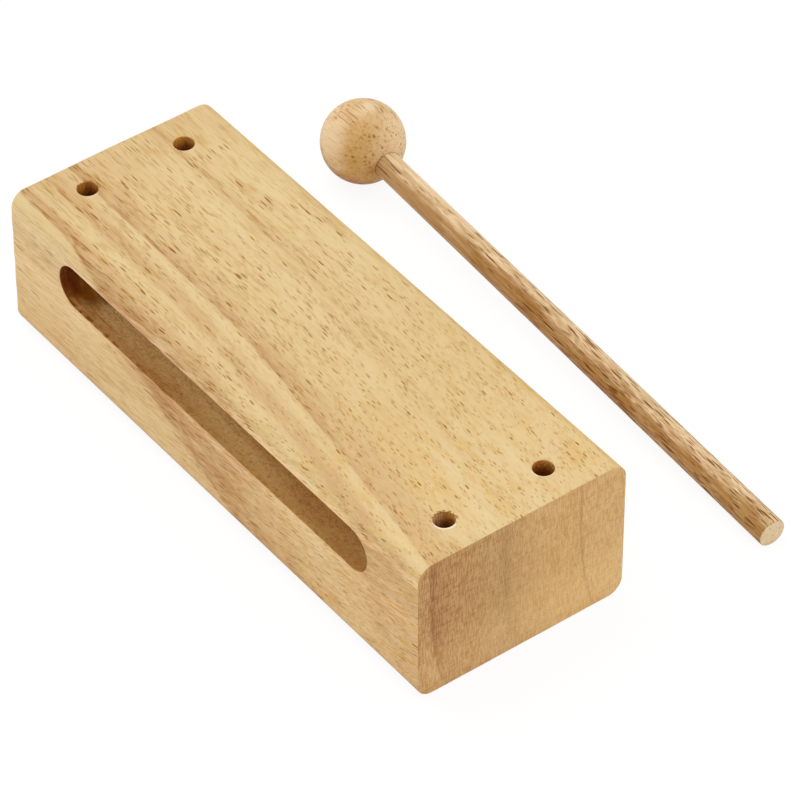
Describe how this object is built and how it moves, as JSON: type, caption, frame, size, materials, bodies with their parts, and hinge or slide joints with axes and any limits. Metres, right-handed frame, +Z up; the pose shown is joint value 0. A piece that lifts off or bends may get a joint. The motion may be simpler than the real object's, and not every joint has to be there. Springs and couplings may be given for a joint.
{
  "type": "wood block",
  "caption": "Rectangular hardwood percussion block with a long sound slot routed in from one side, drilled ends and a separate ball beater on a dowel.",
  "frame": {"origin": "centre of the face that the block rests on", "axes": "+X along the block's length, the sound slot opens towards -Y, +Z is up and out of the face that is struck"},
  "size_m": [0.2067, 0.131, 0.048],
  "materials": {
    "block_wood": "sanded and sealed, satin",
    "ball_wood": "turned and sanded, satin",
    "stick_wood": "sanded, satin"
  },
  "bodies": {
    "block": {"block_body": "block_wood"},
    "beater": {"beater_head": "ball_wood", "beater_stick": "stick_wood"}
  },
  "joints": [
    {"name": "beater_lift", "type": "slide", "parent": "block", "child": "beater", "axis": [0, 0, 1], "range_m": [0, 0.2]}
  ]
}
